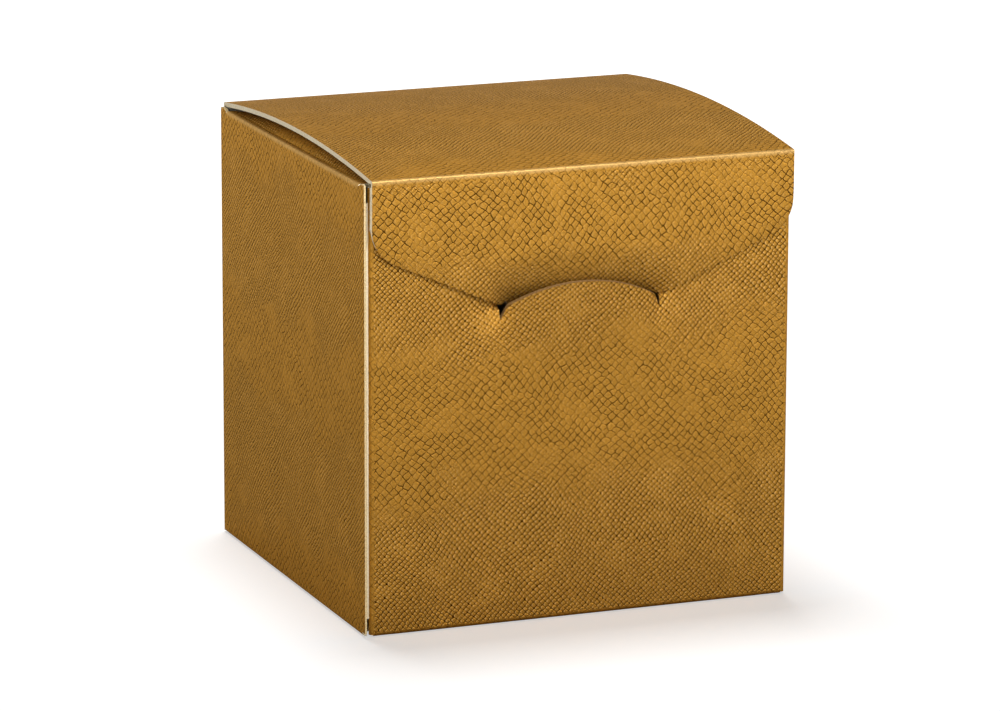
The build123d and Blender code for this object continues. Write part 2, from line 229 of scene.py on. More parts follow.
BAND_EVERY = 30.0  # usual distance from one band of large scales to the next
STRAY_SCALE, STRAY = 0.1, 22.0  # how fine and how wide the bands' wavy borders are
SMALL_FADE, LARGE_FADE = (-0.4, 0.8), (-0.5, 0.7)  # shares of a band in which each size fades


def emboss(m, band=0.0, every=BAND_EVERY, large_depth=1.0):
    """Small scales, with bands of large ones about v = band. Gives place, groove, relief, painted highlight
    and tint.
    """
    at = m.add("UVMap", uv_map="blank")
    small, large = scales(m, at, **SMALL), scales(m, at, **LARGE)
    v = m.add("SeparateXYZ", {0: at}, 1)
    stray = m.math("MULTIPLY", m.math("SUBTRACT", m.noise(at, STRAY_SCALE, 3.0), 0.5), STRAY)
    wave = m.math("MULTIPLY", m.math("SUBTRACT", m.math("ADD", v, stray), band), 2 * pi / every)
    share = m.math("COSINE", wave)
    small_share = m.ramp(share, *SMALL_FADE, 1.0, 0.0)
    large_share = m.ramp(share, *LARGE_FADE, 0.0, large_depth)
    mixed = [m.math("ADD", m.math("MULTIPLY", a, small_share), m.math("MULTIPLY", b, large_share))
             for a, b in zip(small, large)]
    return at, *mixed


GOLD = (0.46, 0.223, 0.031, 1)
# lighter gold along a fold: partly wear, partly a painted highlight
GOLD_WEAR_AND_HIGHLIGHT = (0.56, 0.335, 0.11, 1)
# lighter gold painted on each scale's higher side, as a highlight
GOLD_PAINTED_HIGHLIGHT = (0.82, 0.50, 0.16, 1)
# near black, painted as shade in the grooves and pits between scales
GOLD_GROOVE_SHADE = (0.04, 0.013, 0.001, 1)
GOLD_EDGE = (0.90, 0.73, 0.53, 1)  # tint of its reflections at a flat angle
METAL, SATIN, GROOVE_ROUGH = 0.6, (0.36, 0.48), 0.2  # roughness of the face, and what a groove adds
EMBOSS_DEPTH, FOLD_DEPTH, WORN_DEPTH = 0.00006, 0.00003, 0.00002  # metres
GRAIN_SCALE, GRAIN_RELIEF = 4.2, 0.45
GRAIN_RANGE, GRAIN_TINT = (0.25, 0.75), (0.8, 1.2)
BLOTCH_SCALE, BLOTCH_TINT, SCALE_TINT = 0.06, (0.97, 1.03), (0.95, 1.05)
# how strongly the painted highlight is mixed into the gold
HIGHLIGHT_SHARE = 0.72
WEAR_AND_HIGHLIGHT, WORN_GROOVE = (0.1, 0.7), 0.3  # distances at which a fold's wear and its painted highlight fade, and what the wear leaves of a groove


def gold(name, dark=1.0, depth=EMBOSS_DEPTH, wear_and_highlight_at=None, **bands):
    """Satin gold on embossed board, with painted shade in its grooves and a painted highlight on each scale,
    both weaker for a smaller dark. A fold is worn and painted lighter, as a highlight, along the line v =
    wear_and_highlight_at.
    """
    m = Nodes(name)
    at, groove, relief, painted_highlight, cell = emboss(m, **bands)
    base = GOLD
    if wear_and_highlight_at is not None:
        away = m.math("ABSOLUTE", m.math("SUBTRACT", m.add("SeparateXYZ", {0: at}, 1), wear_and_highlight_at))
        # lighter along the fold: partly wear, partly a painted highlight
        base = m.mix(m.ramp(away, *WEAR_AND_HIGHLIGHT, 1.0, 0.0), GOLD, GOLD_WEAR_AND_HIGHLIGHT)
        groove = m.math("MULTIPLY", groove, m.ramp(away, *WEAR_AND_HIGHLIGHT, WORN_GROOVE, 1.0))
    grain = m.noise(at, GRAIN_SCALE, 3.0)
    height = m.math("ADD", relief, m.math("MULTIPLY", grain, GRAIN_RELIEF))
    blotch = m.ramp(m.noise(at, BLOTCH_SCALE, 4.0), *MOST, *BLOTCH_TINT)
    tint = m.math("MULTIPLY", m.ramp(cell, 0.0, 1.0, *SCALE_TINT), blotch)
    tint = m.math("MULTIPLY", tint, m.ramp(grain, *GRAIN_RANGE, *GRAIN_TINT))
    # paints the highlight on each scale
    face = m.mix(m.math("MULTIPLY", painted_highlight, HIGHLIGHT_SHARE * dark), base, GOLD_PAINTED_HIGHLIGHT)
    face = m.mix(1.0, face, m.add("CombineColor", {0: tint, 1: tint, 2: tint}), "MULTIPLY")
    m.set(
        # grooves and pits painted dark, as shade
        Base_Color=m.mix(m.math("MULTIPLY", groove, dark), face, GOLD_GROOVE_SHADE),
        Metallic=METAL,
        Roughness=m.math("ADD", m.math("MULTIPLY", groove, GROOVE_ROUGH), m.ramp(grain, *MOST, *SATIN)),
        Specular_IOR_Level=0.0,
        Specular_Tint=GOLD_EDGE,
        Normal=m.bump(depth, height),
    )
    return m.material


PALE, PALE_SHADE = (0.84, 0.80, 0.69, 1), (0.76, 0.71, 0.59, 1)
FIBRE_STRETCH, FIBRE_SCALE = (1.2, 4.0, 1.0), 2.4
MOTTLE_SCALE, MOTTLE_FIBRE, MOTTLE_RANGE = 0.2, 0.5, (0.45, 1.05)
FIBRE_RELIEF, GROOVE_RELIEF, PALE_DEPTH = 0.6, 0.8, 0.00003
PALE_ROUGH = (0.75, 0.9)


def paper(name):
    """Pale board: fibres, faint mottling and the emboss showing weakly from the other side."""
    m = Nodes(name)
    at, groove, _, _, _ = emboss(m)
    fibre = m.noise(m.vector("MULTIPLY", at, FIBRE_STRETCH), FIBRE_SCALE, 4.0)
    cloud = m.math("ADD", m.noise(at, MOTTLE_SCALE, 3.0), m.math("MULTIPLY", fibre, MOTTLE_FIBRE))
    ribs = m.math("MULTIPLY", groove, GROOVE_RELIEF)
    m.set(
        Base_Color=m.mix(m.ramp(cloud, *MOTTLE_RANGE), PALE_SHADE, PALE),
        Roughness=m.ramp(fibre, *WIDEST, *PALE_ROUGH),
        Normal=m.bump(PALE_DEPTH, m.math("ADD", m.math("MULTIPLY", fibre, FIBRE_RELIEF), ribs)),
    )
    return m.material


EDGE_FIBRE, EDGE_DEPTH = 5200.0, 0.00004  # per metre, and metres
EDGE_ROUGH, EDGE_SHINE = (0.75, 0.92), 0.1


def raw_edge(name, colour, shade):
    """The board's cut edge: layered fibre."""
    m = Nodes(name)
    fibre = m.noise(m.add("TexCoord", out="Object"), EDGE_FIBRE, 3.0)
    m.set(
        Base_Color=m.mix(m.ramp(fibre, *MOST), shade, colour),
        Roughness=m.ramp(fibre, *WIDEST, *EDGE_ROUGH),
        Specular_IOR_Level=EDGE_SHINE,
        Normal=m.bump(EDGE_DEPTH, fibre),
    )
    return m.material


GLUE_THICK, GLUE_THIN = (0.90, 0.88, 0.82, 1), (0.80, 0.77, 0.68, 1)
FILM_SCALE, FILM_ROUGH = 900.0, (0.35, 0.55)


def dried_glue(name):
    """A film of white glue, thick in some places and thin in others."""
    m = Nodes(name)
    film = m.noise(m.add("TexCoord", out="Object"), FILM_SCALE, 3.0)
    m.set(
        Base_Color=m.mix(m.ramp(film, *MOST), GLUE_THIN, GLUE_THICK),
        Roughness=m.ramp(film, *WIDEST, *FILM_ROUGH),
    )
    return m.material


GOLD_FACE = gold("gold_face")
GOLD_FRONT = gold("gold_front", band=28.0, every=44.0)
GOLD_FLAP = gold("gold_flap", band=54.5, large_depth=1.1)
GOLD_FOLD = gold("gold_fold", dark=0.6, depth=FOLD_DEPTH)
# the lid's and flaps' hinge folds, worn and painted lighter along the fold as a highlight
WORN_HIGHLIT_FOLD = gold("worn_highlit_fold", depth=WORN_DEPTH, wear_and_highlight_at=0.88)
PALE_FACE = paper("pale_face")
RAW_EDGE = raw_edge("raw_edge", (0.97, 0.88, 0.68, 1), (0.86, 0.72, 0.46, 1))
SEAM_EDGE = raw_edge("seam_edge", (0.92, 0.73, 0.42, 1), (0.70, 0.50, 0.23, 1))
# the slit's cut edge, painted dark as shade
SLIT_EDGE_SHADE = raw_edge("shaded_slit_edge", (0.27, 0.15, 0.052, 1), (0.14, 0.075, 0.025, 1))
GLUE = dried_glue("glue_film")


# Board

SHARP = radians(35)  # faces that meet at more than this have a sharp edge
OUTSIDE, INSIDE, CUT, CUT_SLIT = 0, 1, 2, 3  # places of a sheet's materials


def points(x, y, z):
    return np.stack(np.broadcast_arrays(x, y, z), -1).astype(float)


def cut_sides(faces):
    """Sides that belong to one face only, as pairs of points."""
    sides = {}
    for corners in faces.tolist():
        for a, b in zip(corners, corners[1:] + corners[:1]):
            if (b, a) in sides:
                del sides[b, a]
            else:
                sides[a, b] = True
    return sides


def lay_out(mesh, blank):
    """Gives each of the mesh's points its place on the flat blank."""
    corners = np.zeros(len(mesh.loops), int)
    mesh.loops.foreach_get("vertex_index", corners)
    layer = mesh.uv_layers.new(name="blank")
    layer.uv.foreach_set("vector", blank[corners].astype(np.float32).ravel())


def board(name, outer, inner, faces, blank, body, *nodes, face=GOLD_FACE, edge=RAW_EDGE):
    """A closed sheet of board, gold outside, pale inside and raw all along its cut edges."""
    used, faces = np.unique(faces, return_inverse=True)
    faces = faces.reshape(-1, 4)
    outer, inner = outer.reshape(-1, 3)[used], inner.reshape(-1, 3)[used]
    blank = np.stack(np.broadcast_arrays(*blank), -1).reshape(-1, 2)[used]
    count = len(used)
    cut = np.array([(b, a, count + a, count + b) for a, b in cut_sides(faces)])
    quads = np.vstack([faces, faces[:, ::-1] + count, cut])
    mesh = bpy.data.meshes.new(name)
    mesh.from_pydata((np.vstack([outer, inner]) * MM).tolist(), [], quads.tolist())
    surfaces = np.repeat([OUTSIDE, INSIDE, CUT], [len(faces), len(faces), len(cut)])
    mesh.polygons.foreach_set("material_index", surfaces)
    lay_out(mesh, np.vstack([blank, blank]))
    for material in (face, PALE_FACE, edge):
        mesh.materials.append(material)
    mesh.shade_smooth()
    mesh.set_sharp_from_angle(angle=SHARP)
    piece = bpy.data.objects.new(name, mesh)
    scene.collection.objects.link(piece)
    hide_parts(*nodes)
    if body:
        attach(piece, body)
    return piece


def grid_faces(number, keep=None):
    """Quads of a grid of numbered points, those that keep marks."""
    quads = np.stack([number[:-1, :-1], number[:-1, 1:], number[1:, 1:], number[1:, :-1]], -1)
    return quads.reshape(-1, 4) if keep is None else quads[keep]


def numbered(shape):
    return np.arange(shape[0] * shape[1]).reshape(shape)


def panel(name, place, u, v, blank, body, *nodes, bow=0.0, keep=None, thick=BOARD, edge=RAW_EDGE):
    """A panel from a grid. place(u, v, out) gives its points, which stand that far out of its face."""
    s, t = (u - u.min()) / np.ptp(u), (v - v.min()) / np.ptp(v)
    out = bow * np.sin(pi * s) * np.sin(pi * t)
    faces = grid_faces(numbered(u.shape), keep)
    return board(name, place(u, v, out), place(u, v, out - thick), faces, blank, body, *nodes, edge=edge)


def runs(*stops):
    """A line of values through the stops (value, count, value, count, value ...), in that many steps each."""
    values = [np.array(stops[:1], float)]
    for start, count, end in zip(stops[0::2], stops[1::2], stops[2::2]):
        values.append(np.linspace(start, end, count + 1)[1:])
    return np.concatenate(values)


def rounded(corners):
    """A line through corners (x, y, radius), each rounded to its radius."""
    line = [np.array(corners[0][:2], float)]
    for before, corner, after in zip(corners, corners[1:], corners[2:]):
        at, radius = np.array(corner[:2], float), corner[2]
        back, ahead = np.array(before[:2]) - at, np.array(after[:2]) - at
        back, ahead = back / np.linalg.norm(back), ahead / np.linalg.norm(ahead)
        half = acos(np.clip(back @ ahead, -1, 1)) / 2
        centre = at + (back + ahead) / np.linalg.norm(back + ahead) * radius / sin(half)
        start, end = (at + way * radius / np.tan(half) - centre for way in (back, ahead))
        sweep = pi - 2 * half
        for t in np.linspace(0, 1, ROUND_STEPS + 1):
            line.append(centre + (start * sin((1 - t) * sweep) + end * sin(t * sweep)) / sin(sweep))
    line.append(np.array(corners[-1][:2], float))
    return np.array(line)


def bent_path(first, second, radius, reach):
    """Points along a bend from panel direction first to second, radius away from its axis on the outside."""
    normal_1 = -second + first * (first @ second)
    normal_2 = -first + second * (first @ second)
    normal_1, normal_2 = normal_1 / np.linalg.norm(normal_1), normal_2 / np.linalg.norm(normal_2)
    angle = acos(normal_1 @ normal_2)
    turns = np.linspace(0, 1, BEND_STEPS + 1)[:, None]
    if radius > 0:
        arc = normal_1 * np.sin((1 - turns) * angle) + normal_2 * np.sin(turns * angle)
        middle = radius * arc / sin(angle)
    else:
        corner = (normal_1 + normal_2) * radius / (1 + normal_1 @ normal_2)
        middle = corner - INSIDE_SPREAD * radius * (first * (1 - turns) + second * turns)
    if reach == 0:
        return middle
    return np.vstack([first * reach + normal_1 * radius, middle, second * reach + normal_2 * radius])


def fold(name, centre, along, first, second, body, *nodes, radius=BEND_R, reach=0.0, face=GOLD_FOLD):
    """A strip of board bent about an axis, from one panel to the next. along is the axis with its length."""
    centre, along, first, second = (np.array(v, float) for v in (centre, along, first, second))
    outside = bent_path(first, second, radius, reach)
    inside = bent_path(first, second, radius - BOARD, reach)
    length = np.linalg.norm(along)
    share = np.linspace(0, 1, int(length / FOLD_STEP) + 2)
    ends = share[None, :, None] * along
    run = np.concatenate([[0], np.cumsum(np.linalg.norm(np.diff(outside, axis=0), axis=1))])
    v, u = np.meshgrid(run, share * length, indexing="ij")
    faces = grid_faces(numbered(u.shape))
    if np.cross(along, outside[1] - outside[0]) @ (outside[0] + outside[1] - inside[0] - inside[1]) < 0:
        faces = faces[:, ::-1]
    outer, inner = centre + outside[:, None, :] + ends, centre + inside[:, None, :] + ends
    return board(name, outer, inner, faces, (u, v), body, *nodes, face=face)


def moving_fold(name, centre, along, first, second, node):
    """A fold strip along a hinge, built as it lies when closed and attached to no body."""
    piece = fold(name, centre, along, first, second, None, node,
                 radius=BEAD, reach=FOLD_REACH, face=WORN_HIGHLIT_FOLD)
    toward = np.array(second, float) - np.array(first, float)
    toward *= (FOLD_REACH - BEAD) / sqrt(2) / np.linalg.norm(toward)
    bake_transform(piece)


# Front of the sleeve, with the arched slit, and the envelope flap that tucks into it

PRESS_HEIGHT, PRESS_MORE = 5.2, 1.8  # the flap leans inward from this far above the slit, its ends from more
PRESS_MIDDLE, PRESS_LEFT, PRESS_RIGHT = 0.8, 1.7, 1.3  # how deep it is pressed, and what both ends add
PRESS_FADE = (0.86, 1.3)  # where the press ends sideways, in half lengths of the slit
TIP_LEAN = 0.2  # what the tip leans inward more steeply, below the slit
TIP_HALF, TIP_R = 9.6, 6.0
NOTCH_WIDTH, NOTCH_CLEAR = 0.4, 0.2  # beside the tip, the edge steps up this far above the slit
LIP_OUT, LIP_LOW_Z, LIP_CURVE = 1.05, 27.0, 1.6
DENT, DENT_SIDE, DENT_INSIDE, DENT_HIGH, DENT_Z = 0.7, 3.4, 1.1, 3.6, 43.6
TEAR, TEAR_LEFT, TEAR_RIGHT = 1.3, 1.2, 0.7  # the slit's ends are torn open: depth, and length at each end
SLIT_GAP = 0.35
SLIT_BESIDE = 0.06  # width of the faces just beyond the slit's ends
RIM_LEFT, RIM_RIGHT = 0.22, 0.08  # how far the lip's cut edge rises to the inside, at both ends
SLIT_ZONE_X, SLIT_ZONE_LOW, SLIT_ZONE_HIGH = 20.0, 30.0, 50.0  # cut edges within belong to the slit
WALL_CLEAR = 0.1  # how far the wall under the flap may stand out of its flat face
EDGE_PRESS = 0.12  # the flap's free edge lies this much closer to the wall than the rest of it
EDGE_PRESS_START, EDGE_PRESS_HIGH = 2.0, 1.5  # that comes in over this much sideways, and fades upward
EDGE_FLARE, UNDERCUT = 0.15, 0.35  # how far the cut flares out at the flap's left side, and in below


def arch(x):
    """Height of the slit's line, level beyond its ends."""
    off = np.minimum(np.abs(x - SLIT_X), SLIT_HALF)
    return SLIT_TOP_Z - SLIT_R + np.sqrt(SLIT_R**2 - off**2)


def flap_press(x, z):
    """How far the envelope flap is pressed inward."""
    off = np.abs(x - SLIT_X) / SLIT_HALF
    above = z - arch(x)
    to_end = np.minimum(off, 1) ** 2
    deeper = np.where(x < SLIT_X, PRESS_LEFT, PRESS_RIGHT) * to_end
    depth = (PRESS_MIDDLE + deeper) * (1 - step(*PRESS_FADE, off))
    height = PRESS_HEIGHT + PRESS_MORE * to_end
    upper = np.clip(1 - above / height, 0, None) ** 2
    lower = 1 - 2 * above / height
    return depth * np.where(above > 0, upper, lower) + TIP_LEAN * np.clip(-above, 0, None) * (depth > 0)


def wall_out(x, z, lip):
    """How far the front wall stands out: the lip bows out, and both ends of the slit are dented."""
    off = (x - SLIT_X) / SLIT_HALF
    beyond = np.abs(x - SLIT_X) - SLIT_HALF
    side = np.where(beyond > 0, DENT_SIDE, DENT_INSIDE)
    dent = -DENT * np.exp(-((beyond / side) ** 2) - ((z - DENT_Z) / DENT_HIGH) ** 2)
    rise = np.clip((z - LIP_LOW_Z) / (arch(x) - LIP_LOW_Z), 0, 1) ** LIP_CURVE
    bulge = LIP_OUT * np.clip(1 - off**2, 0, None) * rise
    return np.where(lip, bulge + dent, np.minimum(dent, WALL_CLEAR - flap_press(x, z)))


def front_panel():
    """The front wall, in two grids of points that share their rows beyond the slit's ends."""
    xs = runs(FRONT_LEFT + BEND_IN, FRONT_BESIDE, SLIT_LEFT - SLIT_BESIDE, 1, SLIT_LEFT, FRONT_SLIT,
              SLIT_RIGHT, 1, SLIT_RIGHT + SLIT_BESIDE, FRONT_BESIDE, INNER_X - BEND_IN)
    inside = np.abs(xs - SLIT_X) < SLIT_HALF + TINY
    gap = np.where(inside, SLIT_GAP, 0)
    torn = 2 - step(0, TEAR_LEFT, xs - SLIT_LEFT) - step(0, TEAR_RIGHT, SLIT_RIGHT - xs)
    rim = arch(xs) - np.where(inside, TEAR * torn, 0)
    low_share, high_share = (np.linspace(0, 1, rows)[:, None] for rows in (LIP_ROWS, TOP_ROWS))
    low_z = BEND_R + (rim - BEND_R) * low_share
    high_z = arch(xs) + gap + (FRONT_TOP - arch(xs) - gap) * high_share
    z = np.vstack([low_z, high_z])
    x = np.broadcast_to(xs, z.shape)
    lip = np.arange(len(z))[:, None] < len(low_z)
    out = wall_out(x, z, lip)
    number = numbered(z.shape)
    lower_rim, upper_rim = len(low_z) - 1, len(low_z)
    number[upper_rim] = np.where(inside, number[upper_rim], number[lower_rim])
    faces = np.vstack([grid_faces(number[:upper_rim]), grid_faces(number[upper_rim:])])
    inner_z = z.copy()
    along = (xs - SLIT_LEFT) / (2 * SLIT_HALF)
    inner_z[lower_rim] += np.where(inside, RIM_LEFT + (RIM_RIGHT - RIM_LEFT) * along, 0)
    outer, inner = points(x, -HALF_D - out, z), points(x, -INNER_Y - out, inner_z)
    piece = board("front_panel", outer, inner, faces, (x, z), "carton", "front_wall", face=GOLD_FRONT)
    # the slit's cut edges get the dark edge colour, painted shade
    piece.data.materials.append(SLIT_EDGE_SHADE)
    for polygon in piece.data.polygons:
        at_x, _, at_z = polygon.center / MM
        near_slit = SLIT_ZONE_LOW < at_z < SLIT_ZONE_HIGH and abs(at_x) < SLIT_ZONE_X
        if polygon.material_index == CUT and near_slit:
            polygon.material_index = CUT_SLIT


def envelope_flap():
    """The flap in front of the lid: rounded shoulders, slanted sides and the tip behind the lip."""
    slope = (SHOULDER_Z - FLAP_END_Z) / (SLIT_LEFT - LID_LEFT)
    tip_z = FLAP_END_Z - slope * SLIT_HALF
    edge = rounded([
        (FLAP_LEFT, HEIGHT, 0), (FLAP_LEFT, SHOULDER_Z, SHOULDER_R), (SLIT_X, tip_z, TIP_R),
        (LID_RIGHT, SHOULDER_Z, SHOULDER_R), (LID_RIGHT, HEIGHT, 0),
    ])[1:-1]
    xs = np.unique(np.concatenate([
        edge[:, 0], np.linspace(FLAP_LEFT, SLIT_LEFT, FLAP_BESIDE),
        np.linspace(SLIT_LEFT, SLIT_RIGHT, FLAP_MIDDLE), np.linspace(SLIT_RIGHT, LID_RIGHT, FLAP_BESIDE),
    ]).round(4))
    low = np.interp(xs, edge[:, 0], edge[:, 1])
    off = np.abs(xs - SLIT_X)
    notch = step(TIP_HALF, TIP_HALF + NOTCH_WIDTH, off) * (off < SLIT_HALF)
    low = low + np.clip(arch(xs) + NOTCH_CLEAR - low, 0, None) * notch
    top = LID_FOLD_Z - FOLD_REACH
    share = np.linspace(0, 1, FLAP_ROWS)[:, None]
    z = low + (top - low) * share
    x = np.broadcast_to(xs, z.shape)
    beside = step(SLIT_HALF, SLIT_HALF + EDGE_PRESS_START, off)
    closer = EDGE_PRESS * beside * np.exp(-(z - low) / EDGE_PRESS_HIGH) * (1 - share)
    y = FLAP_Y + flap_press(x, z) + closer
    inner_x, inner_z = x.copy(), z.copy()
    inner_x[:, 0] -= EDGE_FLARE
    inner_z[0] += UNDERCUT
    outer, inner = points(x, y, z), points(inner_x, y + BOARD, inner_z)
    faces = grid_faces(numbered(z.shape))
    board("envelope_flap", outer, inner, faces, (x, z), "envelope", "tuck_flap", face=GOLD_FLAP)


front_panel()
envelope_flap()

# The other walls, the lid and the dust flaps


def side_panel(name, place, u, dust, node, bow):
    """A side wall, whose top edge is cut away between the ends of the dust flap's fold."""
    u, v = np.meshgrid(u, runs(BEND_R, SIDE_ROWS, SIDE_FOLD_Z - FOLD_REACH, SIDE_TOP, SIDE_FOLD_Z))
    middle_u, middle_v = (u[:-1, :-1] + u[1:, 1:]) / 2, (v[:-1, :-1] + v[1:, 1:]) / 2
    in_fold = (middle_v > SIDE_FOLD_Z - FOLD_REACH) & (middle_u > dust[0]) & (middle_u < dust[1])
    v[-1] = np.where((u[-1] > dust[0] - TINY) & (u[-1] < dust[1] + TINY), SIDE_FOLD_Z, SIDE_END_Z)
    thick = BOARD - EDGE_CRUSH * step(HALF_D - CRUSH_WIDTH, HALF_D, u)
    panel(name, place, u, v, (u, v), "carton", node, bow=bow, keep=~in_fold, thick=thick, edge=SEAM_EDGE)


def right_panel():
    u = runs(-INNER_Y + BEND_IN, SIDE_ENDS, DUST_FRONT, SIDE_MIDDLE, DUST_BACK, SIDE_ENDS, INNER_Y - BEND_IN)
    side_panel("right_panel", lambda u, z, out: points(HALF_W + out, u, z), u,
               (DUST_FRONT, DUST_BACK), "right_wall", WALL_BOW)


def left_panel():
    u = runs(-INNER_Y + BEND_IN, SIDE_ENDS, -DUST_BACK, SIDE_MIDDLE, -DUST_FRONT, SIDE_ENDS,
             HALF_D + SEAM_PROUD)
    side_panel("left_panel", lambda u, z, out: points(-HALF_W - out, -u, z), u,
               (-DUST_BACK, -DUST_FRONT), "left_wall", LEFT_BOW)


def back_panel():
    u, v = np.meshgrid(np.linspace(-INNER_X + BEND_IN, INNER_X - BEND_IN, BACK_POINTS),
                       np.linspace(BEND_R, LID_FOLD_Z - FOLD_REACH, BACK_POINTS))
    panel("back_panel", lambda u, z, out: points(-u, HALF_D + out, z), u, v, (u, v),
          "carton", "back_wall", bow=WALL_BOW)


def lid_place(x, turn, out):
    radius = BOW_R + BEAD + out
    return points(x, BOW_Y + radius * np.sin(turn), BOW_Z + radius * np.cos(turn))


def lid_panel():
    """The bowed lid. Its left edge runs from the flap's left side to its own at the back."""
    trim = FOLD_REACH / BOW_R
    turns = np.linspace(-BOW_END + trim, BOW_END - trim, LID_ALONG)
    share, turn = np.meshgrid(np.linspace(0, 1, LID_ACROSS), turns)
    left = FLAP_LEFT + (LID_LEFT - FLAP_LEFT) * (turn / BOW_END + 1) / 2
    x = left + (LID_RIGHT - left) * share
    thick = BOARD + EDGE_SWELL * (1 - step(0, SWELL_WIDTH, x - left))
    panel("lid_panel", lid_place, x, turn, (x, turn * BOW_R), "lid", "lid", thick=thick)


def dust_flap(mirror, name, body, node):
    """A dust flap with its tapered front edge, slanted back edge and rounded free corners.

    It is drawn as the left one, and mirror = -1 makes it the right one.
    """
    hinge, free = FOLD_REACH - SIDE_FOLD_X, DUST_REACH - SIDE_FOLD_X
    outline = rounded([
        (hinge, DUST_FRONT, 0), (free, DUST_FRONT + DUST_TAPER, DUST_CORNER),
        (free, DUST_BACK - DUST_REACH, DUST_CORNER), (hinge, DUST_BACK, 0),
    ])
    half = len(outline) // 2
    front, back = outline[:half], outline[half:][::-1]
    evenly = np.linspace(hinge, free, DUST_ACROSS)
    xs = np.unique(np.concatenate([front[:, 0], back[:, 0], evenly]).round(4))
    low, high = np.interp(xs, front[:, 0], front[:, 1]), np.interp(xs, back[:, 0], back[:, 1])
    y = low + (high - low) * np.linspace(0, 1, DUST_ALONG)[:, None]
    x = np.broadcast_to(xs, y.shape)
    along = (y - DUST_FRONT) / (DUST_BACK - DUST_FRONT)
    rise = DUST_RISE * np.sin(pi * along) * np.sin(pi * np.sqrt((x - hinge) / (free - hinge)))
    top, under = SIDE_FOLD_Z + BEAD + rise, SIDE_FOLD_Z - BEAD + rise
    faces = grid_faces(numbered(y.shape))[:, ::mirror]
    board(name, points(mirror * x, y, top), points(mirror * x, y, under), faces, (x, y), body, node)


right_panel()
left_panel()
back_panel()
lid_panel()
dust_flap(1, "left_dust_panel", "left_dust", "left_dust_flap")
dust_flap(-1, "right_dust_panel", "right_dust", "right_dust_flap")

# Folds


def opening_folds():
    """The hinges of the lid, the envelope flap and both dust flaps."""
    lid_start = np.array((LID_LEFT, LID_FOLD_Y, LID_FOLD_Z))
    moving_fold("lid_fold", lid_start, (LID_RIGHT - LID_LEFT, 0, 0),
                DOWN, (0, -cos(BOW_END), sin(BOW_END)), "lid_crease")
    tuck_start = np.array((FLAP_LEFT, TUCK_FOLD_Y, LID_FOLD_Z))
    moving_fold("tuck_fold", tuck_start, (LID_RIGHT - FLAP_LEFT, 0, 0),
                (0, cos(BOW_END), sin(BOW_END)), DOWN, "tuck_crease")
    for side, word in ((-1, "left_dust"), (1, "right_dust")):
        start = np.array((side * SIDE_FOLD_X, DUST_FRONT, SIDE_FOLD_Z))
        moving_fold(word + "_fold", start, (0, DUST_BACK - DUST_FRONT, 0),
                    DOWN, (-side, 0, 0), word + "_crease")


def fixed_folds():
    """Four upright folds and four along the base: where each starts, how far it runs, and its two panels."""
    x, y = INNER_X - BEND_IN, INNER_Y - BEND_IN
    seam_x, left_y = FRONT_LEFT + BEND_IN, CORNER_NOTCH - HALF_D
    front_rise, side_rise = (0, 0, FRONT_TOP - UPRIGHT_LOW), (0, 0, SIDE_FOLD_Z - UPRIGHT_LOW)
    for word, start, along, first, second in (
        ("front_right", (x, -y, UPRIGHT_LOW), front_rise, LEFT, BACK),
        ("right_back", (x, y, UPRIGHT_LOW), side_rise, FRONT, LEFT),
        ("back_left", (-x, y, UPRIGHT_LOW), side_rise, RIGHT, FRONT),
        ("seam", (seam_x, -y, UPRIGHT_LOW), front_rise, RIGHT, BACK),
        ("base_front", (seam_x, -y, BEND_R), (x - seam_x, 0, 0), UP, BACK),
        ("base_back", (-x, y, BEND_R), (2 * x, 0, 0), UP, FRONT),
        ("base_right", (x, -y, BEND_R), (0, 2 * y, 0), UP, LEFT),
        ("base_left", (-x, left_y, BEND_R), (0, y - left_y, 0), UP, RIGHT),
    ):
        fold(word + "_fold", start, along, first, second, "carton", word + "_crease")


opening_folds()
fixed_folds()

# Base flaps, seam flap and glue, which keep their solids

FACING = 0.7  # a face whose normal reaches this far outward is an outer one


def dress(node, outside, u_axis, v_axis):
    """Gives a flat solid its faces: gold towards outside, pale on the far side and raw round its edges."""
    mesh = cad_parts[node].data
    mesh.materials.clear()
    for material in (GOLD_FACE, PALE_FACE, RAW_EDGE):
        mesh.materials.append(material)
    facing = np.array([polygon.normal for polygon in mesh.polygons]) @ np.array(outside, float)
    surfaces = np.where(facing > FACING, OUTSIDE, np.where(facing < -FACING, INSIDE, CUT))
    mesh.polygons.foreach_set("material_index", surfaces)
    at = np.array([vertex.co for vertex in mesh.vertices]) / MM
    lay_out(mesh, at[:, [u_axis, v_axis]])
    mesh.update()


for node in ("base_front_flap", "base_back_flap", "base_left_flap", "base_right_flap"):
    dress(node, DOWN, 0, 1)
dress("seam_flap", LEFT, 1, 2)
glue_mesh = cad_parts["seam_glue"].data
glue_mesh.materials.clear()
glue_mesh.materials.append(GLUE)

# Floor, light and camera

WHITE = (1, 1, 1, 1)
FLOOR_HALF, FLOOR_DROP = 3.0, 0.00005
FLOOR_PAINT, FLOOR_ROUGH = (0.8, 0.8, 0.8, 1), 0.9
GLOW_FROM, GLOW_TO, GLOW_NEAR = 0.05, 0.4, 0.55  # its glow grows over these distances, from this much: painted shade on the floor near the box
FILL, MIRRORED = 0.08, 0.8  # the white room, as light on dull surfaces and as seen in glossy ones


